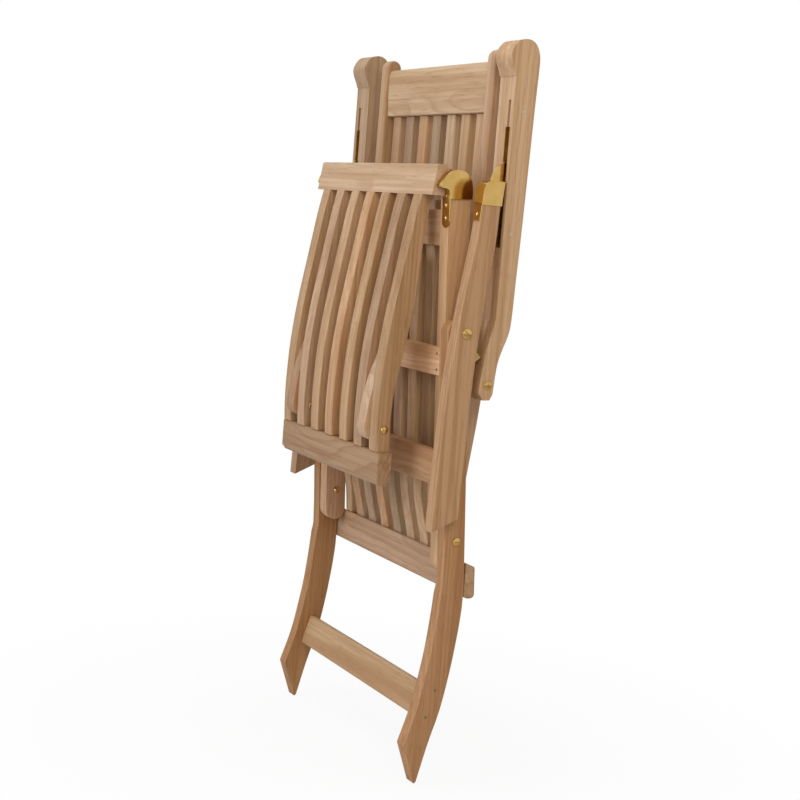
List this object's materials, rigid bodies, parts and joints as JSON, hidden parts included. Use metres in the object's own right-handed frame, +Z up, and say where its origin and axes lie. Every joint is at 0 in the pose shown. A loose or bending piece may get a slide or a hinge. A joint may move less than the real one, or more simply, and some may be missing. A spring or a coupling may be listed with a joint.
{
  "type": "folding steamer chair",
  "caption": "Folding wooden steamer chair standing folded, with curved slatted footrest, seat and back, long grooved arms and brass caps and hooks.",
  "frame": {"origin": "middle of the box's underside, at the height of the rear foot tips, chair folded and upright", "axes": "+Z up, +X to the right seen from the front, -Y towards the footrest side (front), +Y towards the backrest"},
  "size_m": [0.606, 0.2123, 1.302],
  "materials": {
    "teak": "oiled, fine straight grain",
    "brass": "polished",
    "steel": "dull pin ends"
  },
  "bodies": {
    "front_legs": {"front_leg_left": "teak", "front_leg_right": "teak", "front_stretcher": "teak", "leg_cap_left": "brass", "leg_cap_right": "brass", "leg_hook_left": "brass", "leg_hook_right": "brass", "leg_cap_screws": "brass", "stop_brackets": "brass"},
    "seat_frame": {"rear_leg_left": "teak", "rear_leg_right": "teak", "rear_stretcher": "teak", "seat_rail_left": "teak", "seat_rail_right": "teak", "seat_front_rail": "teak", "seat_rear_rail": "teak", "seat_brace": "teak", "seat_slats": "teak", "seat_cap_left": "brass", "seat_cap_right": "brass", "seat_cap_screws": "brass", "frame_nails": "brass", "frame_bolts": "brass", "frame_bolt_nuts": "brass", "leg_pivot_bolts": "brass", "footrest_pins": "brass"},
    "backrest": {"back_stile_left": "teak", "back_stile_right": "teak", "back_top_rail": "teak", "back_bottom_rail": "teak", "back_slat_1": "teak", "back_slat_2": "teak", "back_slat_3": "teak", "back_slat_4": "teak", "back_slat_5": "teak", "back_slat_6": "teak", "back_slat_7": "teak", "arm_pivot_plates": "brass", "arm_pivot_bolts": "brass", "arm_spacers": "brass"},
    "left_arm": {"arm_left": "teak", "arm_track_left": "brass", "track_pins_left": "steel"},
    "right_arm": {"arm_right": "teak", "arm_track_right": "brass", "track_pins_right": "steel"},
    "footrest": {"footrest_top_rail": "teak", "footrest_bottom_rail": "teak", "footrest_slat_1": "teak", "footrest_slat_2": "teak", "footrest_slat_3": "teak", "footrest_slat_4": "teak", "footrest_slat_5": "teak", "footrest_slat_6": "teak", "footrest_slat_7": "teak", "footrest_bolts": "brass"},
    "left_foot_leg": {"footrest_leg_left": "teak"},
    "right_foot_leg": {"footrest_leg_right": "teak"}
  },
  "joints": [
    {"name": "seat_fold", "type": "hinge", "parent": "front_legs", "child": "seat_frame", "pos_m": [0, 0.007, 0.801], "axis": [1, 0, 0], "range_deg": [0, 93.6]},
    {"name": "back_fold", "type": "hinge", "parent": "seat_frame", "child": "backrest", "pos_m": [0, 0.07, 0.34], "axis": [1, 0, 0], "range_deg": [-88, 0]},
    {"name": "left_arm_fold", "type": "hinge", "parent": "backrest", "child": "left_arm", "pos_m": [-0.274, 0.054, 0.714], "axis": [1, 0, 0], "range_deg": [0, 112]},
    {"name": "right_arm_fold", "type": "hinge", "parent": "backrest", "child": "right_arm", "pos_m": [0.274, 0.054, 0.714], "axis": [1, 0, 0], "range_deg": [0, 112]},
    {"name": "footrest_fold", "type": "hinge", "parent": "seat_frame", "child": "footrest", "pos_m": [0, -0.028, 1.057], "axis": [1, 0, 0], "range_deg": [-150, 0]},
    {"name": "left_foot_leg_fold", "type": "hinge", "parent": "footrest", "child": "left_foot_leg", "pos_m": [-0.1495, -0.085, 0.62], "axis": [1, 0, 0], "range_deg": [-93, 0]},
    {"name": "right_foot_leg_fold", "type": "hinge", "parent": "footrest", "child": "right_foot_leg", "pos_m": [0.1495, -0.085, 0.62], "axis": [1, 0, 0], "range_deg": [-93, 0]}
  ],
  "couplings": [
    {"joint": "back_fold", "follows": "seat_fold", "ratio": -0.935},
    {"joint": "left_arm_fold", "follows": "seat_fold", "ratio": 1.191},
    {"joint": "right_arm_fold", "follows": "seat_fold", "ratio": 1.191},
    {"joint": "footrest_fold", "follows": "seat_fold", "ratio": -1.6},
    {"joint": "left_foot_leg_fold", "follows": "seat_fold", "ratio": -0.977},
    {"joint": "right_foot_leg_fold", "follows": "seat_fold", "ratio": -0.977}
  ]
}
